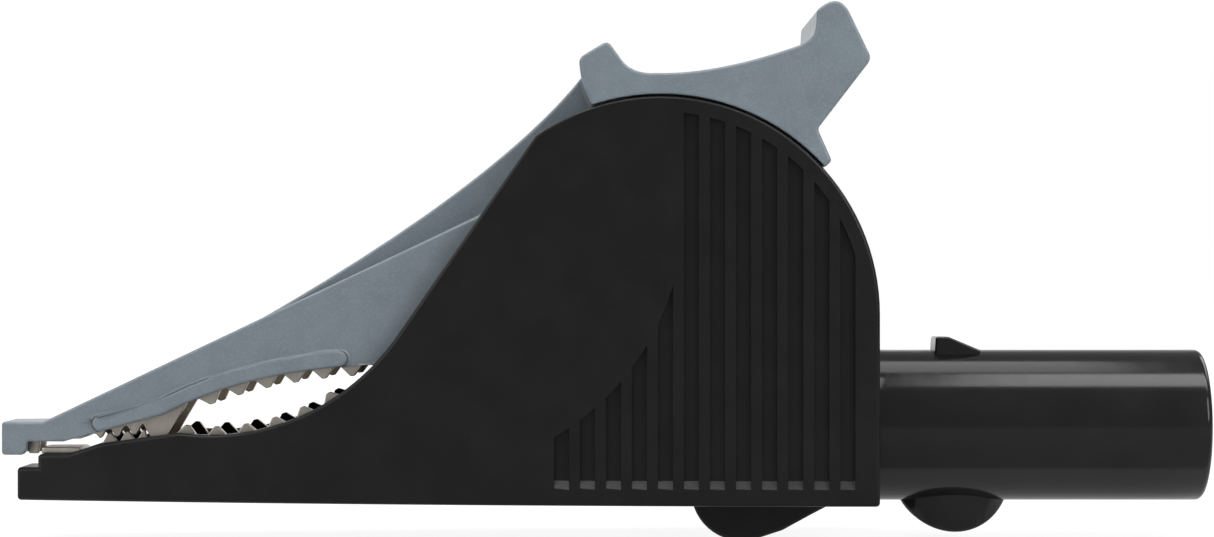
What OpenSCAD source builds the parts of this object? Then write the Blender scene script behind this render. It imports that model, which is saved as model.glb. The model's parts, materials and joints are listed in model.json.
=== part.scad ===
// Safety crocodile clip: a black housing with a fixed jaw, a grey sprung lever with the
// moving jaw, and a barrel with a 4 mm safety socket at the rear.
// Nose towards -X, socket towards +X, thumb saddle up. The origin is the mouth of the
// socket contact, on the socket's axis. The shapes are drawn in the side view, with the
// hinge at 0,0, and every sub-part is then moved to its place by at_hinge().

/* [Housing] */
// Width over the rear of the housing
body_w = 20; // [19:0.5:25]
// Width over the fixed nose
nose_w = 5.4; // [5:0.1:7]
// Reach of the fixed nose in front of the hinge
nose_reach = 50.8; // [46:0.2:62]
// Radius of the domed cheeks about the hinge
dome_r = 16.9; // [15.5:0.1:20.5]
// Distance from the hinge behind which the housing no longer widens
widest_x = 18.3; // [14:0.1:24]
// Wall of the cheeks
cheek_wall = 1.5; // [1.2:0.1:1.9]
// Wall behind the mechanism, which the socket is clamped to
rear_wall = 2; // [1.6:0.1:2.6]
// Skin of the dome between the cheeks
dome_skin = 1.6; // [1.2:0.1:2]
// Floor under the mechanism
floor_t = 1.5; // [1.2:0.1:1.8]
// Underside of the housing below the socket's axis
base_drop = 5.85; // [5.6:0.05:6.6]
// Angle of the corner between the domed edge and the slanted front edge
dome_corner_a = 124.8; // [118:0.2:130]
// Angle up to which the dome is closed between the cheeks
skin_top_a = 42; // [30:1:43]
// Radius of the hollowed edge round the jaw cavity
cavity_r = 18.3; // [16:0.1:22]
// Height of the cavity edge above the underside
cavity_h = 5.28; // [5:0.02:6]
// Length of the fixed nose in front of the cavity
front_len = 13.1; // [12.8:0.1:14]
// Height of the fixed nose at its step
nose_h = 3.65; // [3.4:0.05:4]
// Height of the ledge in front of the step
ledge_h = 2.6; // [2.2:0.05:2.8]
// Length of the ledge
ledge_len = 1.7; // [1.3:0.1:2]

/* [Grip] */
// Grip grooves on each side
groove_count = 12; // [6:1:13]
// Pitch of the grip grooves
groove_pitch = 2; // [1.8:0.05:2.2]
// Width of a grip groove
groove_w = 1.15; // [0.8:0.05:1.3]
// Depth of a grip groove
groove_depth = 0.5; // [0.3:0.05:0.75]
// Length of the ramp at the foot of a groove
groove_ramp = 0.78; // [0.5:0.02:1.2]
// Distance from the housing's rear face to the middle of the last groove
groove_back = 2.5; // [2.3:0.1:5]
// Rim left between the grooves and the domed edge
groove_rim = 1.25; // [1:0.05:2]
// Radius of the arc that the groove tops follow at the front
groove_front_r = 20.1; // [18:0.1:20.1]
// Width of the finger hump
hump_w = 9; // [6:0.5:12]
// Radius of the finger hump
hump_r = 4; // [3:0.1:5]

/* [Hinge] */
// Height of the hinge above the socket's axis
hinge_h = 8.9; // [8.7:0.1:10.6]
// Diameter of the hinge pin
pin_d = 3; // [2.5:0.1:3.4]
// Depth that the pin goes into each blind boss
pin_seat = 1.45; // [1:0.05:1.6]
// Play round the pin, on the radius
pin_play = 0.05; // [0.03:0.01:0.1]
// Radius of the lever's hub
hub_r = 5.6; // [5.2:0.1:6]
// Gap between the lever and the housing
run_gap = 0.3; // [0.25:0.05:0.4]
// Thickness of a hinge washer
hinge_washer_t = 0.3; // [0.2:0.05:0.35]

/* [Jaws] */
// Thickness of the jaw sheet
sheet_t = 0.8; // [0.6:0.05:0.9]
// Width over the jaws at the hinge
jaw_w = 9.2; // [8.8:0.1:11]
// Width over the jaws at the nose
jaw_nose_w = 3.8; // [3.4:0.1:4]
// Distance in front of the hinge at which the jaws start to narrow
jaw_taper_x = 16.7; // [15:0.1:18]
// Gap between a jaw and the moulding that holds it
jaw_fit = 0.1; // [0.05:0.01:0.12]
// Gap between the jaws and the sides of the slot in the housing
slot_play = 0.2; // [0.1:0.05:0.3]
// Pitch of the teeth in the cavity
tooth_pitch = 2.33; // [2:0.01:2.6]
// Depth of the teeth in the cavity
tooth_depth = 0.9; // [0.7:0.05:1]
// Length of the flat between two teeth of the cavity rows
tooth_gullet = 0.5; // [0.2:0.05:0.6]
// Land on the tip of a tooth
tooth_land = 0.34; // [0.2:0.02:0.5]
// Pitch of the fine teeth in front of the cavity
fine_pitch = 1.4; // [1.2:0.05:1.45]
// Depth of the fine teeth
fine_depth = 0.8; // [0.6:0.05:0.9]

/* [Lever] */
// Thickness of the lever's side plates beside the jaws
lever_plate = 1.35; // [1.1:0.05:1.5]
// Overhang of the lever's nose in front of the fixed nose
nose_overhang = 1.24; // [0.8:0.02:1.6]
// Height of the lever's nose
lever_nose_h = 2.63; // [2.2:0.01:3]
// Gap between the lever's nose and the ledge below it
nose_gap = 0.97; // [0.8:0.01:1.2]
// Gap between the lever's lower edge and the fixed nose, where the jaw tips meet
bite_gap = 1; // [0.9:0.01:1.2]
// Height of the raised rim along the lever's lower edge
rim_h = 1.3; // [0.8:0.05:1.5]
// How far that rim stands proud
rim_proud = 0.34; // [0.1:0.02:0.4]
// Gap between the thumb saddle and the dome
saddle_gap = 0.15; // [0.15:0.05:0.4]
// Length that the rounding takes off the saddle's edges at a corner
saddle_round = 0.5; // [0.2:0.05:0.7]

/* [Spring] */
// Wire diameter of the spring
wire_d = 1.1; // [0.8:0.05:1.2]
// Mean radius of the coil
coil_r = 4; // [3.8:0.05:4.3]
// Whole turns of the coil
coil_turns = 3; // [2:1:3]
// Length of the leg that lies on the lever
lever_leg = 12.5; // [9:0.5:13]
// Direction of the leg on the lever
lever_leg_a = 70; // [66:1:74]

/* [Socket] */
// Length of the barrel behind the housing
barrel_len = 26.4; // [24:0.2:32]
// Outer diameter of the barrel
barrel_d = 12; // [11.6:0.1:14]
// Diameter of the well for a plug's shroud
well_d = 8.8; // [8.6:0.1:9.4]
// Depth of the well
well_depth = 19.3; // [16:0.1:20]
// Outer diameter of the contact's sleeve
sleeve_d = 6.3; // [6.1:0.05:6.6]
// Outer diameter of the contact tube
contact_d = 5; // [4.8:0.05:5.2]
// Bore of the contact, which takes a 4 mm plug
socket_bore = 4; // [3.8:0.05:4.2]
// Depth of the bore
socket_depth = 17; // [14:0.5:18]
// Recess of the contact behind the barrel's mouth
contact_recess = 1.5; // [1:0.1:2]
// Diameter of the contact's threaded shank
shank_d = 3; // [2.5:0.1:3.2]
// Width across the flats of the nut
nut_flats = 5.5; // [5:0.1:6]
// Height of the nut
nut_h = 2.4; // [2:0.1:2.6]
// Thickness of the lock washer
washer_t = 0.7; // [0.5:0.05:0.8]
// Diameter of the spigot through the rear wall
spigot_d = 8; // [7.4:0.1:8.4]
// Width of the wedge lug on the barrel
lug_w = 4; // [3:0.1:5]
// Thickness of the fin under the barrel at its middle
fin_t = 5; // [3:0.1:6]

/* [Hidden] */
$fn = 96;
// Gap of a fixed joint between two pieces, and a length that reaches past the whole clip
fit = 0.05;
tall = 90;

// Side view, hinge at 0,0
base_z = -hinge_h - base_drop;
floor_z = base_z + floor_t;
nose_x = -nose_reach;
step_x = nose_x + ledge_len;
ledge_z = base_z + ledge_h;
nose_z = base_z + nose_h;
crest_lead = 2.3;
crest_a = -90 - asin(crest_lead / cavity_r);
cavity_c = [nose_x + front_len + crest_lead, base_z + cavity_h + cavity_r];
dome_corner = dome_r * [cos(dome_corner_a), sin(dome_corner_a)];
wall_x = dome_r - rear_wall;
ear_r = pin_d / 2 + 1.9;
shelf_z = -coil_r - wire_d / 2 - fit;
shelf_t = 1.1;
shelf_len = 3.2;
shelf_leg = wall_x - shelf_len / 2;

// Direction and end of the slanted edge, from the dome's corner to the cavity arc
to_cavity = cavity_c - dome_corner;
edge_a = atan2(to_cavity.y, to_cavity.x) + asin(cavity_r / norm(to_cavity));
throat_a = edge_a + 90;
throat = cavity_c + cavity_r * [cos(throat_a), sin(throat_a)];
// Front end of the wide space between the cheeks
wide_x = throat.x - 3.64;

// Plan view: half widths, and the radii of the arcs that narrow towards the nose
function taper_r(length, narrow) = (length * length + narrow * narrow) / (2 * narrow);
function half_at(x, half, start_x, r) =
    x > start_x ? half : half - r + sqrt(r * r - (x - start_x) ^ 2);
body_r = taper_r(nose_reach + widest_x, (body_w - nose_w) / 2);
lever_w = jaw_w + 2 * (jaw_fit + lever_plate);
lever_taper_x = -6.7;
lever_r = taper_r(nose_reach + nose_overhang + lever_taper_x, (lever_w - nose_w) / 2);
jaw_r = taper_r(-step_x - jaw_taper_x, (jaw_w - jaw_nose_w) / 2);
cheek_y = half_at(0, body_w / 2, widest_x, body_r);
boss_y = lever_w / 2 + run_gap;
boss_skin = 0.6;
pin_half = min(boss_y + pin_seat, cheek_y - groove_depth - boss_skin);
ear_out_y = jaw_w / 2;
ear_in_y = ear_out_y - sheet_t - hinge_washer_t - 2 * fit;

// Lever, side view
lever_nose_x = nose_x - nose_overhang;
lever_nose_z = ledge_z + nose_gap;
lever_low_z = nose_z + bite_gap;
ramp_start = [nose_x + 3.7, lever_low_z];
roof_start = [nose_x + 11.7, base_z + 6.82];
roof_end = [throat.x - 2.8, base_z + 10.75];
roof_bend = [0.59 * roof_start.x + 0.41 * roof_end.x, roof_end.y - 0.5];
flange_start = [nose_x + 2.1, lever_nose_z + lever_nose_h];
flange_end = [-2, dome_r - 3.48];
flange_slope = (flange_end.y - flange_start.y) / (flange_end.x - flange_start.x);
saddle_r = dome_r + saddle_gap;

// Barrel and socket, side view
axis_z = -hinge_h;
mouth_x = dome_r + barrel_len;
contact_x = mouth_x - contact_recess;
well_x = mouth_x - well_depth;
seat_x = dome_r + 3.6;
tab_x = wall_x - sheet_t;
washer_x = tab_x - washer_t;
nut_x = washer_x - nut_h;
shank_x = nut_x - 0.8;
out_r = barrel_d / 2;
shank_r = shank_d / 2;

// Curves of the side view
function arc(c, r, a, b, n) =
    [for (i = [0:n]) c + r * [cos(a + (b - a) * i / n), sin(a + (b - a) * i / n)]];
function bend(p, c, q, t) = (1 - t) ^ 2 * p + 2 * t * (1 - t) * c + t ^ 2 * q;
function curve(p, c, q, n) = [for (i = [0:n]) bend(p, c, q, i / n)];
function unit(v) = v / norm(v);
// Rounded corner c of an outline that comes from p and goes on to q
function soft_corner(p, c, q, cut) = curve(c + cut * unit(p - c), c, c + cut * unit(q - c), 4);
function flange_z(x) = flange_start.y + (x - flange_start.x) * flange_slope;
function on_saddle(a, h) = (saddle_r + h) * [cos(a), sin(a)];

// Moves a shape drawn about the hinge to its place in the clip
module at_hinge() translate([-contact_x, 0, hinge_h]) children();

// Stands a side-view drawing up and gives it a width between two distances from the middle
module side_slab(from_y, to_y)
    translate([0, to_y, 0]) rotate([90, 0, 0]) linear_extrude(to_y - from_y) children();
module both_sides() { children(); mirror([0, 1, 0]) children(); }

// Plan of a tapering body: two arcs that meet the widest station square
module taper_plan(half, start_x, r) {
    intersection() {
        translate([start_x, half - r]) circle(r, $fn = 720);
        translate([start_x, r - half]) circle(r, $fn = 720);
        translate([-tall, -tall]) square(2 * tall);
    }
}
module plan_block(half, start_x, r)
    translate([0, 0, -tall / 2]) linear_extrude(tall) taper_plan(half, start_x, r);
module housing_plan(inset) plan_block(body_w / 2 - inset, widest_x, body_r - inset);
module lever_plan(proud) plan_block(lever_w / 2 + proud, lever_taper_x, lever_r + proud);

// Plan of the jaws, straight at the hinge and tapering to the nose
function jaw_half(x) = half_at(x, jaw_w / 2, -jaw_taper_x, jaw_r);
jaw_stations = [for (i = [0:14]) step_x - 2 + (-jaw_taper_x - step_x + 2) * i / 14];
function jaw_side(grow) =
    concat([for (x = jaw_stations) [x, jaw_half(x) + grow]], [[20, jaw_w / 2 + grow]]);
function mirrored(points) = [for (i = [len(points) - 1:-1:0]) [points[i].x, -points[i].y]];
module jaw_plan(grow) {
    translate([0, 0, -tall / 2]) linear_extrude(tall)
        polygon(concat(jaw_side(grow), mirrored(jaw_side(grow))));
}

// Housing
module housing_outline() {
    polygon(concat([[nose_x, base_z], [dome_r, base_z]], arc([0, 0], dome_r, 0, dome_corner_a, 42),
        arc(cavity_c, cavity_r, throat_a, crest_a, 24),
        [[nose_x + 6.7, nose_z + 0.88], [nose_x + 4, nose_z], [step_x, nose_z], [step_x, ledge_z],
        [nose_x, ledge_z]]));
}
module hump_outline() {
    hump_drop = 3.1;
    hump_c = [6.5, base_z - hump_drop + hump_r];
    translate(hump_c) circle(hump_r);
    polygon([hump_c, hump_c + [1.5, -3.71], hump_c + [3.2, -3.15], hump_c + [5.4, -1.95],
        hump_c + [7.4, -0.9], hump_c + [7.4, 0]]);
}

// Space between the cheeks, open at the front and top, closed by the dome's rear skin
module mechanism_space() {
    polygon(concat([[wide_x, floor_z], [wall_x, floor_z], [wall_x, 0]],
        arc([0, 0], dome_r - dome_skin, 0, skin_top_a, 8),
        [2 * dome_r * [cos(skin_top_a), sin(skin_top_a)], [dome_r, tall], [wide_x, tall]]));
}
// Slot that the lower jaw lies in, from the tongue on the nose to the wide space
tongue_end_x = nose_x + 4.8;
floor_start_x = nose_x + 7.4;
module jaw_slot() {
    polygon([[step_x - 1, nose_z], [tongue_end_x, nose_z], [floor_start_x, floor_z], [wall_x, floor_z],
        [wall_x, tall], [step_x - 1, tall]]);
}
groove_foot_z = base_z + 1.18;
function groove_x(i) = dome_r - groove_back - groove_pitch * i;
module groove_field() {
    front_c = [-dome_r - 1.4, dome_r / 2 - 0.55];
    intersection() {
        for (i = [0:groove_count - 1])
            translate([groove_x(i) - groove_w / 2, groove_foot_z]) square([groove_w, tall]);
        union() {
            circle(dome_r - groove_rim);
            translate([-dome_r, -tall]) square([2 * dome_r, tall]);
        }
        difference() {
            translate([-dome_r, -tall]) square([2 * dome_r, 2 * tall]);
            translate(front_c) circle(groove_front_r);
            translate([-tall, front_c.y]) square([tall + front_c.x + groove_front_r, tall]);
        }
    }
}
module groove_cuts() {
    difference() {
        side_slab(-body_w, body_w) groove_field();
        housing_plan(groove_depth);
        both_sides() groove_ramps();
    }
}
// Ramped foot of the grooves on one side
module groove_ramps() {
    top_z = groove_foot_z + groove_ramp;
    for (i = [0:groove_count - 1]) {
        w = half_at(groove_x(i), body_w / 2, widest_x, body_r);
        translate([groove_x(i) - groove_w, 0, 0]) rotate([90, 0, 90]) linear_extrude(2 * groove_w)
            polygon([[0, groove_foot_z - 1], [w + 0.1, groove_foot_z - 1], [w + 0.1, groove_foot_z],
                [w - groove_depth, top_z], [0, top_z]]);
    }
}
module spigot_hole(from_x, r) translate([from_x, 0, 0]) on_axis() cylinder(r = r, h = dome_r + 1 - from_x);
module housing() {
    color([0.13, 0.13, 0.14]) at_hinge() {
        difference() {
            union() {
                intersection() {
                    side_slab(-body_w, body_w) housing_outline();
                    housing_plan(0);
                }
                side_slab(-hump_w / 2, hump_w / 2) intersection() {
                    hump_outline();
                    translate([-tall / 2, base_z - tall]) square([tall, tall + floor_t / 2]);
                }
            }
            intersection() {
                side_slab(-body_w, body_w) mechanism_space();
                housing_plan(cheek_wall);
            }
            intersection() {
                side_slab(-body_w, body_w) jaw_slot();
                jaw_plan(slot_play);
                translate([-tall, -tall / 2, -tall / 2]) cube([tall + wide_x + 1, tall, tall]);
            }
            spigot_hole(wall_x - 1, spigot_d / 2 + fit);
            groove_cuts();
            both_sides() pin_bore();
        }
        difference() {
            both_sides() hinge_boss();
            both_sides() pin_bore();
        }
        spring_shelf();
    }
}
// Boss on the inside of a cheek, and the blind bore that goes through it
module hinge_boss() translate([0, boss_y, 0]) rotate([-90, 0, 0])
    cylinder(r = ear_r + 0.2, h = max(cheek_y - cheek_wall - boss_y, 0) + 0.4);
module pin_bore() translate([0, boss_y - 1, 0]) rotate([-90, 0, 0])
    cylinder(r = pin_d / 2 + fit, h = pin_half + fit - boss_y + 1);
// Shelf on the rear wall that the spring's lower leg lies on, hollowed round the contact's nut
module spring_shelf() {
    difference() {
        intersection() {
            side_slab(-body_w / 2, body_w / 2) translate([wall_x - shelf_len, shelf_z - shelf_t])
                square([shelf_len + rear_wall / 4, shelf_t]);
            housing_plan(cheek_wall / 2);
        }
        spigot_hole(wall_x - shelf_len - 1, max(spigot_d / 2 + fit, ear_in_y + jaw_fit));
    }
}

// Barrel, sleeve, contact and their fasteners
module on_axis() translate([0, 0, axis_z]) rotate([0, 90, 0]) children();
module turned() on_axis() rotate_extrude() children();
module socket_barrel() {
    round_r = 0.5;
    well_r = well_d / 2;
    mouth_bevel = 0.3;
    color([0.1, 0.1, 0.11]) at_hinge() {
        turned() polygon(concat([[shank_r + fit, wall_x], [spigot_d / 2, wall_x], [spigot_d / 2, dome_r],
            [out_r, dome_r]],
            arc([out_r - round_r, mouth_x - round_r], round_r, 0, 90, 6),
            [[well_r + mouth_bevel, mouth_x], [well_r, mouth_x - mouth_bevel], [well_r, well_x],
            [sleeve_d / 2 + fit, well_x], [sleeve_d / 2 + fit, seat_x], [shank_r + fit, seat_x]]));
        barrel_lug();
        barrel_fin();
    }
}
module barrel_lug() {
    lug_h = 1.05;
    top_z = axis_z + out_r + lug_h;
    root_z = top_z - lug_h - 0.55;
    side_slab(-lug_w / 2, lug_w / 2)
        polygon([[dome_r + 5, root_z], [dome_r + 5.1, top_z], [dome_r + 6.15, top_z],
            [dome_r + 8.65, top_z - lug_h], [dome_r + 8.65, root_z]]);
}
module barrel_fin() {
    mid_x = dome_r + 6.6;
    fin_drop = 2.4;
    half_chord = 4.3;
    outline_r = 4.8;
    lens_r = taper_r(half_chord, fin_t / 2);
    intersection() {
        translate([mid_x, 0, axis_z - out_r - fin_drop + outline_r]) rotate([90, 0, 0])
            cylinder(r = outline_r, h = 2 * fin_t, center = true);
        translate([mid_x, lens_r - fin_t / 2, axis_z - barrel_d]) cylinder(r = lens_r, h = out_r + 1.2);
        translate([mid_x, fin_t / 2 - lens_r, axis_z - barrel_d]) cylinder(r = lens_r, h = out_r + 1.2);
    }
}
module contact_sleeve() {
    in_r = contact_d / 2 + fit;
    end_x = contact_x + 0.6;
    edge = 0.25;
    color([0.12, 0.12, 0.13]) at_hinge() turned() polygon([[in_r, seat_x], [sleeve_d / 2, seat_x],
        [sleeve_d / 2, end_x - edge], [sleeve_d / 2 - edge, end_x], [in_r, end_x]]);
}
module socket_contact() {
    edge = 0.3;
    color([0.78, 0.76, 0.7]) at_hinge() turned() polygon([[0, shank_x], [shank_r - edge, shank_x],
        [shank_r, shank_x + edge], [shank_r, seat_x], [contact_d / 2, seat_x], [contact_d / 2, contact_x],
        [socket_bore / 2, contact_x], [socket_bore / 2, contact_x - socket_depth],
        [0, contact_x - socket_depth - 1]]);
}
module lock_washer() {
    slit = 0.4;
    color([0.7, 0.7, 0.72]) at_hinge() difference() {
        turned() translate([shank_r + 2 * fit, washer_x]) square([1.3, washer_t]);
        translate([washer_x - 1, -slit / 2, axis_z]) cube([washer_t + 2, slit, shank_d]);
    }
}
module contact_nut() {
    color([0.75, 0.73, 0.66]) at_hinge() difference() {
        translate([nut_x, 0, 0]) on_axis() cylinder(r = nut_flats / sqrt(3), h = nut_h, $fn = 6);
        translate([nut_x - 1, 0, 0]) on_axis() cylinder(r = shank_r + fit, h = nut_h + 2);
    }
}

// Teeth of the cavity rows. One tooth is its root, the two edges of its land and the start of
// the gullet behind it: the first number is its place along the row, the second is 0 at the
// root and 1 at the tip
function tooth(i, pitch, land, gullet) = let (middle = (i + 0.5) * pitch - gullet / 2)
    [[i * pitch, 0], [middle - land / 2, 1], [middle + land / 2, 1], [(i + 1) * pitch - gullet, 0]];
lower_tip_r = cavity_r - 0.6;
function along(length) = length / lower_tip_r * 180 / PI;
lower_start_a = crest_a - 1.6;
// The row ends this far before the throat, and where its tips would come too near the upper row
row_margin_a = 17.6;
teeth_gap = 0.5;
meeting_a = asin((roof_end.y - tooth_depth - teeth_gap - cavity_c.y) / lower_tip_r);
lower_end_a = min(throat_a - row_margin_a, meeting_a + along(tooth_pitch) / 2);
lower_count = floor((lower_end_a - lower_start_a) / along(tooth_pitch));
lower_teeth = [for (i = [0:lower_count - 1],
    p = tooth(i, along(tooth_pitch), along(tooth_land), along(tooth_gullet)))
    let (a = lower_start_a + p.x) cavity_c + (lower_tip_r + tooth_depth * (1 - p.y)) * [cos(a), sin(a)]];

// Where the lever's lower edge passes a station, on the curve over the cavity
function bend_t(x) = let (a = roof_start.x - 2 * roof_bend.x + roof_end.x,
    b = 2 * (roof_bend.x - roof_start.x), c = roof_start.x - x) (-b + sqrt(b * b - 4 * a * c)) / (2 * a);
function roof_at(x) = bend(roof_start, roof_bend, roof_end, bend_t(x));

// Fine teeth in front of the cavity: a wave that climbs a little towards the hinge. The upper
// row is the lower one moved up, so that the two rows mesh with a gap
fine_rise = 0.1;
fine_start = [nose_x + 6.65, base_z + 4.88];
fine_shift = [-0.1, 0.4];
function fine_row(start) = [for (i = [0:30]) let (x = fine_pitch * i / 12)
    start + [x, fine_rise * x - fine_depth / 2 * cos(30 * i)]];
fine_end_x = fine_start.x + 2.5 * fine_pitch;

// Deep plate of the upper jaw between its fine teeth and the cavity, cut off at a slant
plate_z = base_z + 4.5;
cut_foot = [nose_x + 12, base_z + 5.1];
cut_top = [nose_x + 13.84, base_z + 8.2];
tongue_t = 0.5;

lower_end = [-jaw_taper_x + 0.5, base_z + 6.75];
module lower_jaw_side() {
    polygon(concat([[nose_x + 5.3, nose_z - 0.4], [nose_x + 5.6, nose_z + 0.2]], fine_row(fine_start),
        [[fine_end_x + 0.3, plate_z - 0.15], [cut_foot.x + 0.3, plate_z - 0.25]],
        lower_teeth, [lower_end, [lower_end.x, floor_z], [floor_start_x, floor_z]]));
}
module lower_floor_band() {
    polygon([[step_x + 0.1, nose_z], [step_x + 0.1, nose_z + tongue_t], [tongue_end_x, nose_z + tongue_t],
        [tongue_end_x + 0.6, nose_z + 0.1], [floor_start_x + 0.3, floor_z + sheet_t],
        [tab_x, floor_z + sheet_t], [tab_x, floor_z], [floor_start_x, floor_z], [tongue_end_x, nose_z]]);
}
module lower_jaw() {
    color([0.66, 0.62, 0.55]) at_hinge() difference() {
        union() {
            intersection() {
                side_slab(-jaw_w, jaw_w) lower_jaw_side();
                difference() {
                    jaw_plan(0);
                    jaw_plan(-sheet_t);
                }
            }
            intersection() {
                side_slab(-jaw_w, jaw_w) lower_floor_band();
                jaw_plan(0);
                union() {
                    translate([-tall, -tall, -tall]) cube([tall - jaw_taper_x + 2, 2 * tall, 2 * tall]);
                    translate([-tall, -ear_in_y, -tall]) cube([2 * tall, 2 * ear_in_y, 2 * tall]);
                }
            }
            both_sides() side_slab(ear_in_y - sheet_t, ear_in_y) lower_ear();
            lower_tab();
        }
        rotate([90, 0, 0]) cylinder(r = pin_d / 2 + fit, h = tall, center = true);
    }
}
module lower_ear() {
    polygon([[-12.5, floor_z], [-12.5, floor_z + 3], ear_r * [cos(140), sin(140)],
        ear_r * [cos(30), sin(30)], [7, floor_z + 2.4], [7, floor_z]]);
    circle(ear_r);
}
// Rear tab that the contact's shank goes through
module lower_tab() {
    difference() {
        union() {
            translate([tab_x, 0, 0]) on_axis() cylinder(r = ear_in_y, h = sheet_t);
            translate([tab_x, -ear_in_y, floor_z]) cube([sheet_t, 2 * ear_in_y, axis_z - floor_z]);
        }
        translate([tab_x - 1, 0, 0]) on_axis() cylinder(r = shank_r + fit, h = sheet_t + 2);
    }
}

// Top edge of the upper jaw, just under the lever's solid top, from its tip to its ears
neck_x = -12;
upper_top = [[lever_nose_x + 1.3, lever_low_z + 0.5], [nose_x + 5, lever_low_z + 0.6],
    roof_start + [0.4, 2.2], roof_bend + [1, 2.2], roof_end + [0, 2.3], [neck_x, 0.8], [-3, ear_r - 0.2]];
upper_tooth_x = cut_top.x + 0.61;
upper_pitch = 0.97 * tooth_pitch;
upper_depth = 0.9 * tooth_depth;
upper_count = ceil((roof_end.x - upper_tooth_x) / upper_pitch);
upper_teeth = [for (i = [0:upper_count - 1], p = tooth(i, upper_pitch, tooth_land, tooth_gullet))
    let (x = min(upper_tooth_x + p.x, roof_end.x - 0.01), d = unit(roof_at(x) - roof_at(x - 0.1)))
    roof_at(x) + upper_depth * p.y * [d.y, -d.x]];
module upper_jaw_side() {
    tip_x = lever_nose_x + 2;
    tip_z = ledge_z + 1.05;
    polygon(concat([[tip_x, lever_low_z + 0.5], [tip_x, tip_z], [tip_x + 0.75, tip_z],
        [tip_x + 0.9, lever_low_z + 0.1], [nose_x + 5, lever_low_z + 0.4], [nose_x + 6, lever_low_z + 0.85]],
        fine_row(fine_start + fine_shift),
        [[fine_end_x + 0.5, plate_z + 0.5], [fine_end_x + 0.6, plate_z], [cut_foot.x - 0.3, plate_z],
        cut_foot, cut_top],
        upper_teeth, [roof_end, [neck_x, -ear_r], [0, -ear_r], [0, ear_r - 0.2]],
        [for (i = [len(upper_top) - 1:-1:0]) upper_top[i]]));
}
module upper_top_band() {
    n = len(upper_top) - 3;
    polygon(concat([for (i = [0:n]) upper_top[i]],
        [for (i = [n:-1:0]) upper_top[i] - [0, i < 2 ? sheet_t / 2 : sheet_t]]));
}
module upper_jaw() {
    color([0.7, 0.66, 0.58]) at_hinge() difference() {
        union() {
            intersection() {
                side_slab(-jaw_w, jaw_w) union() {
                    upper_jaw_side();
                    circle(ear_r);
                }
                difference() {
                    jaw_plan(0);
                    jaw_plan(-sheet_t);
                }
            }
            intersection() {
                side_slab(-jaw_w, jaw_w) upper_top_band();
                jaw_plan(0);
            }
        }
        rotate([90, 0, 0]) cylinder(r = pin_d / 2 + pin_play, h = tall, center = true);
    }
}

// Lever
hub_point = hub_r * [cos(220), sin(220)];
lever_leg_dir = [cos(lever_leg_a), sin(lever_leg_a)];
rear_foot = (coil_r + wire_d / 2 + 0.1) * [-lever_leg_dir.y, lever_leg_dir.x];
function rear_face(s) = rear_foot + s * lever_leg_dir;
ridge_x = nose_x + 17.9;
ridge_h = 2.5;
ridge_start = [ridge_x, flange_z(ridge_x)];
ridge_end = on_saddle(108.4, ridge_h);
ridge_bend = ridge_end + [-7, -8.6];

roof_edge = curve(roof_start, roof_bend, roof_end, 20);
module lever_outline() {
    hook_x = lever_nose_x + 2.04;
    polygon(concat([[lever_nose_x, lever_nose_z + lever_nose_h], [lever_nose_x, lever_nose_z],
        [hook_x - 0.3, lever_nose_z], [hook_x, lever_nose_z + 0.5], [hook_x, lever_low_z], ramp_start],
        roof_edge, [hub_point, [0, 0], rear_face(3), rear_face(dome_r - 3.2), flange_end, flange_start]));
    circle(hub_r);
}
module spine_outline() {
    polygon(concat(curve(ridge_start, ridge_bend, ridge_end, 24),
        [on_saddle(106.5, ridge_h), on_saddle(90, 0.8), rear_face(dome_r), rear_face(8),
        [ridge_x + 8.9, flange_z(ridge_x + 8.9) - 2], ridge_start + [-1, -1.5]]));
}
module spine_plan() {
    edge = concat(curve([ridge_x - 2.1, 0.8], [-20, 2.6], [-12, 3.4], 10), [[-6, 3.9], [3, 3.9]]);
    translate([0, 0, -tall / 2]) linear_extrude(tall) polygon(concat(edge, mirrored(edge)));
}
// Thumb saddle: a blunt lip in front, a long hollow and a horn behind
module saddle_outline() {
    lip_front = on_saddle(108.3, 2.5);
    lip_top = [on_saddle(107.6, 3.75), on_saddle(100.8, 4.5)];
    hollow = concat(curve(on_saddle(98.5, 2.8), on_saddle(97, 1.8), on_saddle(92.3, 1.6), 6),
        curve(on_saddle(91, 1.6), on_saddle(77.6, 1.9), on_saddle(63.9, 5.8), 14),
        curve(on_saddle(63.4, 6), on_saddle(60.5, 7.2), on_saddle(61.8, 8.3), 6));
    horn_top = curve(on_saddle(62.8, 9.3), on_saddle(61.2, 11.4), on_saddle(58, 10.4), 10);
    horn_tip = on_saddle(50.5, 8.5);
    waist = on_saddle(49.8, 1.7);
    heel = on_saddle(42, 0.7);
    end = on_saddle(41.6, -1);
    difference() {
        polygon(concat([on_saddle(107.7, -1), on_saddle(108.4, 1.1), lip_front],
            soft_corner(lip_front, lip_top[0], lip_top[1], saddle_round),
            soft_corner(lip_top[0], lip_top[1], hollow[0], saddle_round), hollow, horn_top,
            soft_corner(horn_top[10], horn_tip, waist, saddle_round),
            [waist], soft_corner(waist, heel, end, saddle_round / 2), [end]));
        circle(saddle_r);
    }
}
// Everything that is nearer to the cheeks than half the running gap
module beyond_cheeks() {
    difference() {
        translate([wide_x, -body_w, -tall / 2]) cube([tall, 2 * body_w, tall]);
        housing_plan(cheek_wall + run_gap / 2);
    }
}
// Pocket that the upper jaw sits in, open below
module jaw_pocket() {
    back_x = 12;
    polygon(concat([for (p = upper_top) p + [0, jaw_fit]], [[back_x, ear_r - 0.2 + jaw_fit], [back_x, -tall],
        [upper_top[0].x - jaw_fit, -tall]]));
}
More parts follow.
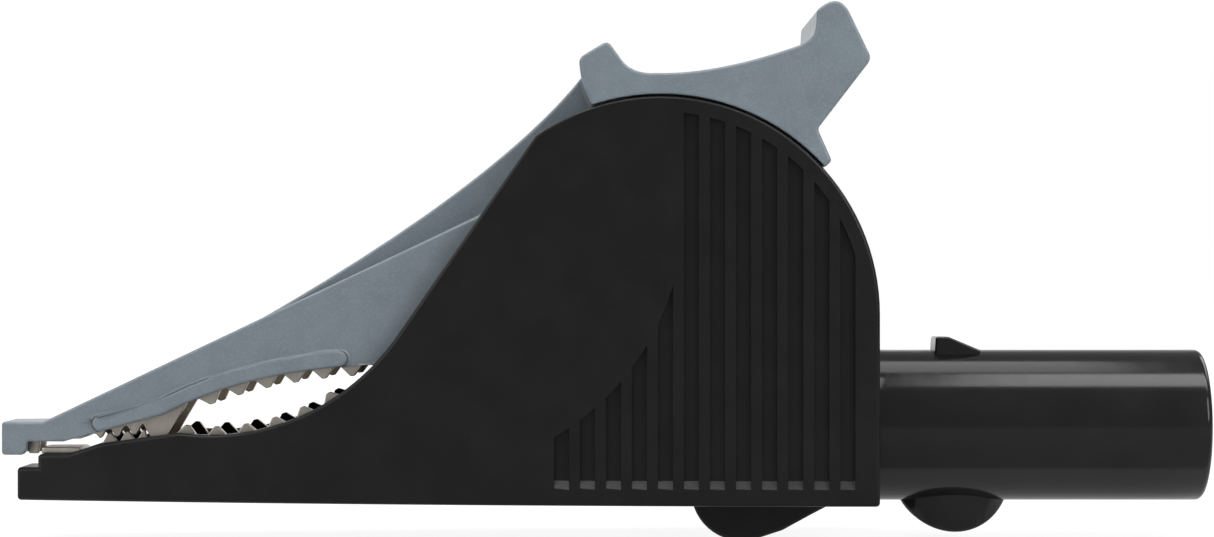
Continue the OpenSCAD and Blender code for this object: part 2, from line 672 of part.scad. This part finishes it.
// Raised rim over the cavity, round at both ends
module rim_outline() {
    half = rim_h / 2;
    from_x = nose_x + 6.1 + half;
    foot = ramp_start + (roof_start - ramp_start) * (from_x - ramp_start.x) / (roof_start.x - ramp_start.x);
    last = 18;
    polygon(concat([for (i = [0:last]) roof_edge[i]], arc(roof_edge[last] + [0, half], half, -75, 90, 8),
        [for (i = [last - 1:-1:0]) roof_edge[i] + [0, rim_h]], arc(foot + [0, half], half, 90, 270, 8)));
}
module lever() {
    color([0.49, 0.53, 0.57]) at_hinge() difference() {
        union() {
            difference() {
                intersection() {
                    side_slab(-lever_w, lever_w) lever_outline();
                    lever_plan(0);
                }
                beyond_cheeks();
            }
            intersection() {
                side_slab(-lever_w, lever_w) rim_outline();
                lever_plan(rim_proud);
            }
            intersection() {
                side_slab(-lever_w, lever_w) spine_outline();
                spine_plan();
            }
            intersection() {
                side_slab(-body_w, body_w) saddle_outline();
                housing_plan(0);
            }
        }
        intersection() {
            side_slab(-jaw_w, jaw_w) union() {
                jaw_pocket();
                circle(hub_r + 0.6);
            }
            jaw_plan(jaw_fit);
        }
        rotate([90, 0, 0]) cylinder(r = pin_d / 2 + pin_play, h = tall, center = true);
    }
}

// Pin, washers, bush and spring
module along_y(half) rotate([90, 0, 0]) translate([0, 0, -half]) linear_extrude(2 * half) children();
module ring(out_r, in_r) difference() { circle(out_r); circle(in_r); }
module pivot_pin() color([0.72, 0.72, 0.74]) at_hinge() along_y(pin_half) circle(pin_d / 2);
module pivot_washers() {
    color([0.72, 0.7, 0.66]) at_hinge() both_sides() translate([0, ear_in_y + fit, 0]) rotate([-90, 0, 0])
        linear_extrude(hinge_washer_t) ring(pin_d / 2 + 1.7, pin_d / 2 + 0.1);
}
module spring_bush() {
    color([0.85, 0.84, 0.8]) at_hinge() along_y(ear_in_y - sheet_t - fit)
        ring(coil_r - wire_d / 2 - 0.15, pin_d / 2 + 0.1);
}

// Wire of the spring: along the lever's leg, round the coil and out along the shelf
wire_pitch = wire_d + 0.06;
coil_sweep = 360 * coil_turns + 180 - lever_leg_a;
coil_half = wire_pitch * coil_sweep / 720;
function coil_point(a) = let (turn = lever_leg_a + 90 + a)
    [coil_r * cos(turn), coil_half - wire_pitch * a / 360, coil_r * sin(turn)];
wire_path = concat([coil_point(0) + lever_leg * [lever_leg_dir.x, 0, lever_leg_dir.y]],
    [for (a = [0:20:coil_sweep - 1]) coil_point(a)],
    [coil_point(coil_sweep), coil_point(coil_sweep) + [shelf_leg, 0, 0]]);
function wire_dir(i) = unit(wire_path[min(i + 1, len(wire_path) - 1)] - wire_path[max(i - 1, 0)]);
function wire_ring(i) = let (u = unit(cross([0, 1, 0], wire_dir(i))), v = cross(wire_dir(i), u))
    [for (k = [0:7]) wire_path[i] + wire_d / 2 * (cos(45 * k) * u + sin(45 * k) * v)];
module torsion_spring() {
    rings = len(wire_path);
    color([0.6, 0.6, 0.62]) at_hinge() polyhedron(
        points = [for (i = [0:rings - 1], p = wire_ring(i)) p],
        faces = concat([[for (k = [0:7]) k]], [[for (k = [7:-1:0]) (rings - 1) * 8 + k]],
            [for (i = [0:rings - 2], k = [0:7])
                [i * 8 + k, (i + 1) * 8 + k, (i + 1) * 8 + (k + 1) % 8, i * 8 + (k + 1) % 8]]));
}

housing();
socket_barrel();
contact_sleeve();
socket_contact();
lock_washer();
contact_nut();
lower_jaw();
upper_jaw();
lever();
pivot_pin();
pivot_washers();
spring_bush();
torsion_spring();
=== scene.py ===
import json
import math

import bmesh
import bpy
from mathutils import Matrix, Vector
from mathutils.bvhtree import BVHTree
from mathutils.kdtree import KDTree


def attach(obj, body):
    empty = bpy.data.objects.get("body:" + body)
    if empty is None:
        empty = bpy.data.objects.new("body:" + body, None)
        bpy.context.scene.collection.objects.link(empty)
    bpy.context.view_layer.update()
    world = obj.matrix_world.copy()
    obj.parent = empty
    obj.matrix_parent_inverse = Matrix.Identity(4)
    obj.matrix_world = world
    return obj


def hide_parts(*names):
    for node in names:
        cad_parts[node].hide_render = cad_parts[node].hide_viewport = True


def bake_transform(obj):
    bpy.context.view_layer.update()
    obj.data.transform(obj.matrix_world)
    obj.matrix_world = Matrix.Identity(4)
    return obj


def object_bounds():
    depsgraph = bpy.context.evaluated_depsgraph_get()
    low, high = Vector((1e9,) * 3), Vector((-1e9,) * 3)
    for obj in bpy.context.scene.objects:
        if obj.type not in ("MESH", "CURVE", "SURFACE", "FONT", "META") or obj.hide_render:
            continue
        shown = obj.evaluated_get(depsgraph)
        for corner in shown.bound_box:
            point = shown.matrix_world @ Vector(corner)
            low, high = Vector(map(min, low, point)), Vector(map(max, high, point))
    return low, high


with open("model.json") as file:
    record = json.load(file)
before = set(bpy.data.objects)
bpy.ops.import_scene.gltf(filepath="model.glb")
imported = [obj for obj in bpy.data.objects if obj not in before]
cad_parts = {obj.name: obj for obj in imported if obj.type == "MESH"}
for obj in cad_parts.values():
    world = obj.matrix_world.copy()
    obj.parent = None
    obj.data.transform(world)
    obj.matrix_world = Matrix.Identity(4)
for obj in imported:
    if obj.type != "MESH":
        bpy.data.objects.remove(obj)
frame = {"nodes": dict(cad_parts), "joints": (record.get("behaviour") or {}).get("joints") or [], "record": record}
CAD_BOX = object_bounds()
NODES = frame["nodes"]
SLOTS = {row["node"]: row["material_slot"] for row in frame["record"]["subparts"]}
BODIES = {node: body for body, members in frame["record"]["behaviour"]["bodies"].items() for node in members}
MM = 0.001

# Hinge of the lever, radius of the housing's domes round it, and height of the housing's lower edge
HINGE = Vector(frame["joints"][0]["pos_m"])
DOME_R = 0.0169
BASE_Z = -0.00585


# Materials

# Sockets of a Mix node for colours: its factor, its two colours and its result
MIX_FACTOR, MIX_FIRST, MIX_SECOND, MIX_RESULT = 0, 6, 7, 2
NOISE_ROUGHNESS = 0.55
# A face that looks straight at the clip's middle plane counts as inward, and takes the painted shade, in full from
# the first of these distances, and not at all within the second
PAINTED_SHADE_FROM, PAINTED_SHADE_NONE = 1.6 * MM, 0.8 * MM


class Paint:
    """A Principled material with short helpers for its node tree."""

    def __init__(self, name, color, roughness, metallic=0.0, specular=0.5):
        self.material = bpy.data.materials.new(name)
        self.material.use_nodes = True
        self.tree = self.material.node_tree
        self.shader = self.tree.nodes["Principled BSDF"]
        self.set("Base Color", (*color, 1))
        self.set("Roughness", roughness)
        self.set("Metallic", metallic)
        self.set("Specular IOR Level", specular)
        self.place = self.node("ShaderNodeTexCoord").outputs["Object"]
        self.normal = None

    def set(self, socket, value):
        self.shader.inputs[socket].default_value = value

    def node(self, kind, **settings):
        made = self.tree.nodes.new(kind)
        for key, value in settings.items():
            setattr(made, key, value)
        return made

    def link(self, source, target):
        self.tree.links.new(source, target)

    def noise(self, size, detail, stretch=(1, 1, 1)):
        """Noise whose features are about size metres across, and longer along an axis whose stretch
        is under 1."""
        mapping = self.node("ShaderNodeMapping")
        mapping.inputs["Scale"].default_value = stretch
        self.link(self.place, mapping.inputs["Vector"])
        noise = self.node("ShaderNodeTexNoise")
        noise.inputs["Scale"].default_value = 1 / size
        noise.inputs["Detail"].default_value = detail
        noise.inputs["Roughness"].default_value = NOISE_ROUGHNESS
        self.link(mapping.outputs["Vector"], noise.inputs["Vector"])
        return noise.outputs["Fac"]

    def spread(self, factor, low, high, start=0.3, end=0.7):
        """Maps a factor from start to end to a number from low to high, and holds it beyond them."""
        made = self.node("ShaderNodeMapRange")
        made.inputs["From Min"].default_value = start
        made.inputs["From Max"].default_value = end
        made.inputs["To Min"].default_value = low
        made.inputs["To Max"].default_value = high
        self.link(factor, made.inputs["Value"])
        return made.outputs["Result"]

    def tint(self, base, other, factor):
        """Mixes two colours into the base colour; base may be a colour or an output."""
        made = self.node("ShaderNodeMix", data_type="RGBA")
        if isinstance(base, tuple):
            made.inputs[MIX_FIRST].default_value = (*base, 1)
        else:
            self.link(base, made.inputs[MIX_FIRST])
        made.inputs[MIX_SECOND].default_value = (*other, 1)
        self.link(factor, made.inputs[MIX_FACTOR])
        self.link(made.outputs[MIX_RESULT], self.shader.inputs["Base Color"])
        return made.outputs[MIX_RESULT]

    def inward_painted_shade(self):
        """Mask of the painted shade: 1 on the faces that look towards the middle plane of the clip, 0 on the
        others.
        """
        place, normal = (self.node("ShaderNodeSeparateXYZ") for _ in range(2))
        self.link(self.place, place.inputs[0])
        self.link(self.node("ShaderNodeNewGeometry").outputs["Normal"], normal.inputs[0])
        product = self.node("ShaderNodeMath", operation="MULTIPLY")
        self.link(place.outputs["Y"], product.inputs[0])
        self.link(normal.outputs["Y"], product.inputs[1])
        return self.spread(product.outputs[0], low=1, high=0, start=-PAINTED_SHADE_FROM, end=-PAINTED_SHADE_NONE)

    def rough(self, output):
        self.link(output, self.shader.inputs["Roughness"])

    def bump(self, height, depth):
        """Adds a bump whose full height is depth metres."""
        made = self.node("ShaderNodeBump")
        made.inputs["Distance"].default_value = depth
        self.link(height, made.inputs["Height"])
        if self.normal:
            self.link(self.normal, made.inputs["Normal"])
        self.normal = made.outputs["Normal"]
        self.link(self.normal, self.shader.inputs["Normal"])


def moulded(name, dark, light, roughness, grain, grain_depth, specular=0.5):
    """Moulded plastic: cloudy pigment, a spark-eroded grain and slight sink marks."""
    p = Paint(name, light, roughness[0], specular=specular)
    clouds = p.noise(3.2 * MM, detail=5)
    p.tint(dark, light, p.spread(clouds, low=0, high=1, start=0.35, end=0.65))
    p.rough(p.spread(p.noise(1.7 * MM, detail=4), *roughness))
    p.bump(p.noise(grain, detail=2), grain_depth)
    p.bump(p.noise(6 * MM, detail=2), depth=0.01 * MM)
    return p


def black_housing():
    p = moulded("housing_plastic", dark=(0.0064, 0.0064, 0.0068), light=(0.0091, 0.0091, 0.0097),
                roughness=(0.34, 0.42), grain=0.16 * MM, grain_depth=0.004 * MM, specular=0.25)
    p.set("Coat Weight", 0.15)
    p.set("Coat Roughness", 0.2)
    return p.material


def black_barrel():
    p = moulded("barrel_plastic", dark=(0.0085, 0.0085, 0.0088), light=(0.011, 0.011, 0.0115),
                roughness=(0.12, 0.17), grain=0.5 * MM, grain_depth=0.0012 * MM, specular=0.42)
    draw_marks = p.noise(0.3 * MM, detail=3, stretch=(0.05, 1, 1))
    p.bump(draw_marks, depth=0.0006 * MM)
    return p.material


def grey_lever():
    """Satin grey plastic with pale specks."""
    p = Paint("lever_plastic", (0.2, 0.24, 0.28), roughness=0.45, specular=0.42)
    p.set("Coat Weight", 0.45)
    p.set("Coat Roughness", 0.18)
    clouds = p.spread(p.noise(2.6 * MM, detail=5), low=0, high=1)
    specks = p.spread(p.noise(0.17 * MM, detail=2), low=0, high=0.42, start=0.5, end=0.72)
    cloudy = p.tint((0.156, 0.189, 0.216), (0.186, 0.224, 0.254), clouds)
    p.tint(cloudy, (0.248, 0.290, 0.325), specks)
    p.rough(p.spread(p.noise(1.2 * MM, detail=4), low=0.36, high=0.50))
    p.bump(p.noise(0.19 * MM, detail=2), depth=0.014 * MM)
    return p.material


def jaw_sheet(name, inside):
    """Satin plated sheet. Its faces towards the middle of the clip are painted with the colour inside, a painted
    shade that stands in for the shade between its walls.
    """
    p = Paint(name, (0.70, 0.65, 0.57), roughness=0.27, metallic=1.0)
    clouds = p.spread(p.noise(1.6 * MM, detail=5), low=0, high=1)
    plated = p.tint((0.63, 0.575, 0.50), (0.765, 0.715, 0.64), clouds)
    # Painted shade on the faces towards the middle of the clip
    p.tint(plated, inside, p.inward_painted_shade())
    p.rough(p.spread(p.noise(0.8 * MM, detail=4), low=0.27, high=0.38))
    rolling_marks = p.noise(0.25 * MM, detail=4, stretch=(0.16, 1, 1))
    p.bump(rolling_marks, depth=0.0015 * MM)
    p.bump(p.noise(1.1 * MM, detail=2), depth=0.003 * MM)
    return p.material


def turned_metal(name, color, roughness):
    """Metal with fine turning marks, which run across the X axis."""
    p = Paint(name, color, roughness, metallic=1.0)
    darker = tuple(0.8 * c for c in color)
    p.tint(darker, color, p.spread(p.noise(1.3 * MM, detail=4), low=0, high=1))
    p.rough(p.spread(p.noise(0.6 * MM, detail=4), low=roughness - 0.05, high=roughness + 0.09))
    turning_marks = p.noise(0.12 * MM, detail=2, stretch=(1, 0.08, 0.08))
    p.bump(turning_marks, depth=0.0025 * MM)
    return p.material


def drawn_wire():
    p = Paint("spring_steel", (0.46, 0.46, 0.47), roughness=0.28, metallic=1.0)
    clouds = p.spread(p.noise(1.4 * MM, detail=5), low=0, high=1)
    p.tint((0.33, 0.33, 0.345), (0.5, 0.5, 0.505), clouds)
    p.bump(p.noise(0.12 * MM, detail=3), depth=0.003 * MM)
    return p.material


def natural_plastic():
    p = moulded("bush_plastic", dark=(0.56, 0.55, 0.5), light=(0.64, 0.63, 0.58),
                roughness=(0.38, 0.5), grain=0.2 * MM, grain_depth=0.006 * MM)
    return p.material


# One for each slot, and one for the node lower_jaw, whose sheet has a nearly black painted shade on its inner
# faces
MATERIALS = {
    "housing_plastic": black_housing(),
    "barrel_plastic": black_barrel(),
    "lever_plastic": grey_lever(),
    # The colours inside are painted shade on the jaws' inner faces: brown here, nearly black on the lower jaw
    "jaw_metal": jaw_sheet("jaw_metal", inside=(0.40, 0.335, 0.26)),
    "lower_jaw": jaw_sheet("lower_jaw_painted_shade_metal", inside=(0.012, 0.011, 0.010)),
    "contact_metal": turned_metal("contact_metal", (0.68, 0.65, 0.58), roughness=0.24),
    "steel": turned_metal("steel", (0.56, 0.56, 0.57), roughness=0.26),
    "spring_steel": drawn_wire(),
    "bush_plastic": natural_plastic(),
}


# Meshes

# Points this near to each other are one, and edges this short go
SAME_POINT = 0.003 * MM
SHORTEST = 0.005 * MM
# Faces that lie within this angle of each other become one
FLAT = math.radians(0.7)
# An edge that turns by more than this is sharp
SHARP = math.radians(30)
# Distance between the cuts across a piece, and how near a point is to a cut that it lies on
STATION = 1.5 * MM
ON_CUT = 0.002 * MM


def dress(piece, node):
    """Gives a piece its finish and puts it in the CAD node's place."""
    piece.data.materials.clear()
    piece.data.materials.append(MATERIALS.get(node) or MATERIALS[SLOTS[node]])
    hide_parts(node)


def new_piece(name, mesh):
    piece = bpy.data.objects.new(name, mesh)
    bpy.context.scene.collection.objects.link(piece)
    return piece


def joined(node):
    """A copy of a node's mesh with its doubled points joined."""
    bm = bmesh.new()
    bm.from_mesh(NODES[node].data)
    bmesh.ops.remove_doubles(bm, verts=bm.verts, dist=SAME_POINT)
    return bm


def sharp_edges(bm):
    return [e for e in bm.edges if len(e.link_faces) == 2 and e.calc_face_angle(0) > SHARP]


def edge_samples(edges, reach):
    """Places along each edge, as rows of the place, its edge and whether it is clear of the ends."""
    spacing = 0.2 * reach
    samples = []
    for e in edges:
        first, second = (v.co for v in e.verts)
        length = (second - first).length
        steps = max(1, math.ceil(length / spacing))
        for i in range(steps):
            t = (i + 0.5) / steps
            clear = steps == 1 or min(t, 1 - t) * length * 2 > reach
            samples.append((first.lerp(second, t), e, clear))
    return samples


def room_beside(edges, reach):
    """For each sharp edge, the distance across its faces to the next sharp edge, up to reach."""
    samples = edge_samples(edges, reach)
    tree = KDTree(len(samples))
    for i, (place, _, _) in enumerate(samples):
        tree.insert(place, i)
    tree.balance()

    # A way to a neighbour counts if it crosses the edge and runs along one of the edge's faces:
    # these are the most that its cosines with the edge and with a face's normal may be
    crossing, in_face = 0.4, 0.2
    same_place = 1e-7
    room = {e: reach for e in edges}
    for place, e, clear in samples:
        if not clear:
            continue
        ends = set(e.verts)
        along = (e.verts[1].co - e.verts[0].co).normalized()
        normals = [f.normal for f in e.link_faces]
        for other, i, distance in tree.find_range(place, room[e]):
            if distance < same_place or ends & set(samples[i][1].verts):
                continue
            way = (other - place) / distance
            if abs(way.dot(along)) < crossing and min(abs(way.dot(n)) for n in normals) < in_face:
                room[e] = min(room[e], distance)
    return room


def bevelled(bm, name, radius, segments):
    """A new piece from a bmesh, and a bmesh of it with its weighted edges bevelled."""
    mesh = bpy.data.meshes.new(name)
    bm.to_mesh(mesh)
    bm.free()
    piece = new_piece(name, mesh)
    bevel = piece.modifiers.new("edge radius", "BEVEL")
    bevel.width = radius
    bevel.segments = segments
    bevel.limit_method = "WEIGHT"
    bevel.miter_outer = "MITER_ARC"
    bevel.loop_slide = False
    bevel.use_clamp_overlap = False
    shape = bmesh.new()
    shape.from_object(piece, bpy.context.evaluated_depsgraph_get())
    piece.modifiers.clear()
    return piece, shape


def cut_at_stations(bm):
    """Cuts the faces across at even steps, so that the joined strips of a long one keep its curve."""
    low = min(v.co.x for v in bm.verts)
    high = max(v.co.x for v in bm.verts)
    for i in range(1, int((high - low) / STATION) + 1):
        whole = bm.verts[:] + bm.edges[:] + bm.faces[:]
        bmesh.ops.bisect_plane(bm, geom=whole, plane_co=(low + i * STATION, 0, 0), plane_no=(1, 0, 0),
                               dist=ON_CUT)


def rounded(node, name, radius, segments=3, hollow=0.0, ease=lambda place: 1.0):
    """Stands a copy of a node in its place with its outer edges rounded as far as there is room.
    Hollow corners get the share hollow of the radius, and ease gives the share at a place."""
    look_around = 2.5 * radius
    share_of_room = 0.4
    bm = joined(node)
    bmesh.ops.dissolve_limit(bm, angle_limit=FLAT, verts=bm.verts, edges=bm.edges)
    bmesh.ops.dissolve_degenerate(bm, dist=SHORTEST, edges=bm.edges)
    weight = bm.edges.layers.float.new("bevel_weight_edge")
    edges = sharp_edges(bm)
    room = room_beside(edges, look_around)
    for e in edges:
        middle = (e.verts[0].co + e.verts[1].co) / 2
        share = min(ease(middle), share_of_room * room[e] / radius)
        e[weight] = share * (1 if e.is_convex else hollow)
    piece, bm = bevelled(bm, name, radius, segments)

    # A point of a rounded edge lies this near the CAD surface: one that doesn't goes back to it
    farthest = 0.45 * radius
    skin = BVHTree.FromObject(NODES[node], bpy.context.evaluated_depsgraph_get())
    for v in bm.verts:
        place, _, _, distance = skin.find_nearest(v.co)
        if distance > farthest:
            v.co = place
    cut_at_stations(bm)
    for f in bm.faces:
        f.smooth = True
    for e in sharp_edges(bm):
        e.smooth = False
    bm.to_mesh(piece.data)
    bm.free()
    normals = piece.modifiers.new("flat faces", "WEIGHTED_NORMAL")
    normals.weight = 80
    normals.keep_sharp = True
    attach(piece, BODIES[node])
    dress(piece, node)


def from_hinge(place):
    return math.hypot(place.x - HINGE.x, place.z - HINGE.z)


def near_grooves(place):
    """Share of the radius on the housing: little on the edges of the grip grooves, which lie inside
    the outline of the cheeks."""
    little = 0.12
    front = HINGE.x - 9 * MM
    lowest = BASE_Z + 0.6 * MM
    border = 0.7 * MM
    if place.z > HINGE.z:
        inside = from_hinge(place) < DOME_R - border
    else:
        inside = place.x < HINGE.x + DOME_R - border
    return little if place.x > front and place.z > lowest and inside else 1.0


def near_dome(place):
    """Share of the radius on the lever: less under the thumb saddle, where it runs over the domes."""
    less = 0.6
    margin = 0.3 * MM
    return less if abs(from_hinge(place) - DOME_R) < margin else 1.0


def smooth_wire(node, name, wire_r):
    """A copy of a wire of eight sides with round sides and rounded ends."""
    any_angle = 3.1
    bm = joined(node)
    bmesh.ops.join_triangles(bm, faces=bm.faces, angle_face_threshold=any_angle,
                             angle_shape_threshold=any_angle)
    for f in bm.faces:
        f.smooth = True

    # Subdivision draws the sides of an octagon in by this share of its radius
    drawn_in = 3 / (2 + math.cos(math.radians(45))) - 1
    bm.normal_update()
    for v in bm.verts:
        v.co += v.normal * wire_r * drawn_in
    mesh = bpy.data.meshes.new(name)
    bm.to_mesh(mesh)
    bm.free()
    piece = new_piece(name, mesh)
    subdivision = piece.modifiers.new("round wire", "SUBSURF")
    subdivision.levels = 2
    subdivision.render_levels = 2
    dress(piece, node)
    return piece


rounded("housing", "housing_shell", radius=0.3 * MM, segments=4, ease=near_grooves)
rounded("lever", "thumb_lever", radius=0.26 * MM, segments=4, hollow=1.0, ease=near_dome)
rounded("lower_jaw", "lower_jaw_sheet", radius=0.07 * MM)
rounded("upper_jaw", "upper_jaw_sheet", radius=0.07 * MM)
rounded("socket_barrel", "socket_barrel_shell", radius=0.2 * MM, segments=4)
rounded("contact_nut", "clamping_nut", radius=0.15 * MM)
rounded("lock_washer", "split_washer", radius=0.08 * MM)
rounded("pivot_pin", "hinge_pin", radius=0.15 * MM)
rounded("contact_sleeve", "contact_tube", radius=0.12 * MM)
rounded("socket_contact", "plug_contact", radius=0.12 * MM)
rounded("spring_bush", "coil_bush", radius=0.15 * MM)
rounded("pivot_washers", "hinge_washers", radius=0.05 * MM)

# The spring's wire, rounded, with its place baked into its points
spring = smooth_wire("torsion_spring", "spring_wire", wire_r=0.55 * MM)
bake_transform(spring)


# Studio

# The floor is level with the clip's lowest point and reaches this far to each side
FLOOR_Z = CAD_BOX[0][2]
FLOOR_REACH = 1.5
# Middle of the clip, at which the lamps aim, and the height of the boxes of light overhead
MIDDLE = Vector((-0.0459, 0, 0.0125))
BOX_Z = 0.3
# Grey of the even light, and how many times as strong its blue is
AMBIENT, BLUER = 0.24, 1.02
# The world turns white to gloss and glass as the Y of a ray's direction goes from this to 1
BACKWARDS = 0.85
# The floor's white to the camera changes from the first strength to the second between these
# distances from the frame's origin
FLOOR_WHITE, FAR_WHITE = 1.15, 1.3
NEAR, FAR = 0.1, 0.4
# Share of true shading in the floor's look, which keeps the shadow
SHADED = 0.2
# The floor's brightness to gloss and glass changes from the first to the second between these Y
FRONT_GLOW, BEHIND_GLOW = 0.24, 0.62
FRONT_Y, BEHIND_Y = -0.0078, -0.0070


def maths(tree, operation, first, second):
    made = tree.nodes.new("ShaderNodeMath")
    made.operation = operation
    for socket, value in zip(made.inputs, (first, second)):
        if isinstance(value, (int, float)):
            socket.default_value = value
        else:
            tree.links.new(value, socket)
    return made.outputs[0]


def ramp(tree, value, start, end, low, high):
    made = tree.nodes.new("ShaderNodeMapRange")
    made.interpolation_type = "SMOOTHSTEP"
    for socket, number in (("From Min", start), ("From Max", end), ("To Min", low), ("To Max", high)):
        made.inputs[socket].default_value = number
    tree.links.new(value, made.inputs["Value"])
    return made.outputs["Result"]


def coordinates(tree, output):
    return tree.nodes.new("ShaderNodeTexCoord").outputs[output]


def y_of(tree, vector):
    split = tree.nodes.new("ShaderNodeSeparateXYZ")
    tree.links.new(vector, split.inputs[0])
    return split.outputs["Y"]


def length_of(tree, vector):
    made = tree.nodes.new("ShaderNodeVectorMath")
    made.operation = "LENGTH"
    tree.links.new(vector, made.inputs[0])
    return made.outputs["Value"]


def mirrored(tree, rays):
    """1 for rays that come by way of gloss or glass."""
    return maths(tree, "MAXIMUM", rays.outputs["Is Glossy Ray"], rays.outputs["Is Transmission Ray"])


def mixed(tree, factor, first, second, output):
    mix = tree.nodes.new("ShaderNodeMixShader")
    tree.links.new(factor, mix.inputs["Fac"])
    tree.links.new(first.outputs[0], mix.inputs[1])
    tree.links.new(second.outputs[0], mix.inputs[2])
    tree.links.new(mix.outputs[0], tree.nodes[output].inputs["Surface"])


def studio_world():
    """Even soft light, white to the camera and, behind the object, to gloss and glass."""
    world = bpy.data.worlds.new("studio")
    bpy.context.scene.world = world
    world.use_nodes = True
    tree = world.node_tree
    soft = tree.nodes["Background"]
    soft.inputs["Color"].default_value = (AMBIENT, AMBIENT, AMBIENT * BLUER, 1)
    white = tree.nodes.new("ShaderNodeBackground")
    white.inputs["Color"].default_value = (1, 1, 1, 1)
    rays = tree.nodes.new("ShaderNodeLightPath")
    behind = ramp(tree, y_of(tree, coordinates(tree, "Generated")), BACKWARDS, 1.0, 0, 1)
    in_gloss = maths(tree, "MULTIPLY", mirrored(tree, rays), behind)
    shown = maths(tree, "MAXIMUM", rays.outputs["Is Camera Ray"], in_gloss)
    mixed(tree, shown, soft, white, "World Output")


def pale_floor():
    """White to the camera with a share of true shading, which keeps the shadow. Gloss and
    glass see one brightness in front of the object, and another under it and behind it."""
    material = bpy.data.materials.new("pale floor")
    material.use_nodes = True
    tree = material.node_tree
    lit = tree.nodes["Principled BSDF"]
    lit.inputs["Base Color"].default_value = (0.8, 0.8, 0.8, 1)
    lit.inputs["Roughness"].default_value = 0.9
    rays = tree.nodes.new("ShaderNodeLightPath")
    seen = rays.outputs["Is Camera Ray"]
    in_gloss = mirrored(tree, rays)
    place = coordinates(tree, "Object")
    white = ramp(tree, length_of(tree, place), NEAR, FAR, FLOOR_WHITE, FAR_WHITE)
    dimmed = ramp(tree, y_of(tree, place), FRONT_Y, BEHIND_Y, FRONT_GLOW, BEHIND_GLOW)
    to_camera = maths(tree, "MULTIPLY", seen, white)
    to_gloss = maths(tree, "MULTIPLY", in_gloss, dimmed)
    glow = tree.nodes.new("ShaderNodeEmission")
    tree.links.new(maths(tree, "MAXIMUM", to_camera, to_gloss), glow.inputs["Strength"])
    shown = maths(tree, "MULTIPLY", maths(tree, "MAXIMUM", seen, in_gloss), 1 - SHADED)
    mixed(tree, shown, lit, glow, "Material Output")
    return material


def floor():
    corners = [(x * FLOOR_REACH, y * FLOOR_REACH, FLOOR_Z) for x, y in ((-1, -1), (1, -1), (1, 1), (-1, 1))]
    mesh = bpy.data.meshes.new("floor")
    mesh.from_pydata(corners, [], [range(4)])
    mesh.materials.append(pale_floor())
    made = new_piece("floor", mesh)


def lamp(name, place, aim, size, watts):
    light = bpy.data.lights.new(name, "AREA")
    light.shape = "RECTANGLE"
    light.size, light.size_y = size
    light.energy = watts
    made = bpy.data.objects.new(name, light)
    made.location = place
    made.rotation_euler = (Vector(aim) - Vector(place)).to_track_quat("-Z", "Y").to_euler()
    bpy.context.scene.collection.objects.link(made)


def overhead_box(name, x, y, size, watts):
    """A box of light that hangs level over a place."""
    lamp(name, (x, y, BOX_Z), (x, y, 0), size, watts)


studio_world()
floor()
overhead_box("overhead box in front", x=0.14, y=-0.088, size=(0.25, 0.132), watts=0.5)
overhead_box("overhead box behind", x=-0.165, y=0.066, size=(0.42, 0.146), watts=0.44)
lamp("overhead box at the nose", (-0.12, -0.1, BOX_Z), (-0.1, -0.03, 0), size=(0.2, 0.12), watts=0.3)
lamp("left softbox", (-0.44, -0.26, 0.16), MIDDLE, size=(0.24, 0.3), watts=0.45)
lamp("right softbox", (0.27, -0.37, 0.2), MIDDLE, size=(0.2, 0.26), watts=0.72)
lamp("left back light", (-0.36, 0.22, 0.3), MIDDLE, size=(0.3, 0.2), watts=0.25)
lamp("right back light", (0.28, 0.24, 0.3), MIDDLE, size=(0.3, 0.2), watts=0.5)


# Camera at the photo's viewing angle: level, square to the clip's side, a quarter metre away.
# VIEW_WIDTH is what it sees across the clip's middle plane
CAMERA_DISTANCE = 0.25
CAMERA_Z = 0.01248
VIEW_WIDTH = 0.09712
SENSOR_WIDTH = 36
camera_data = bpy.data.cameras.new("camera")
camera_data.sensor_fit = "HORIZONTAL"
camera_data.sensor_width = SENSOR_WIDTH
camera_data.lens = SENSOR_WIDTH * CAMERA_DISTANCE / VIEW_WIDTH
camera_data.clip_start = 0.01
camera = bpy.data.objects.new("camera", camera_data)
camera.location = (MIDDLE.x, -CAMERA_DISTANCE, CAMERA_Z)
camera.rotation_euler = (math.radians(90), 0, 0)
bpy.context.scene.collection.objects.link(camera)
bpy.context.scene.camera = camera
bpy.context.scene.view_settings.view_transform = "Standard"
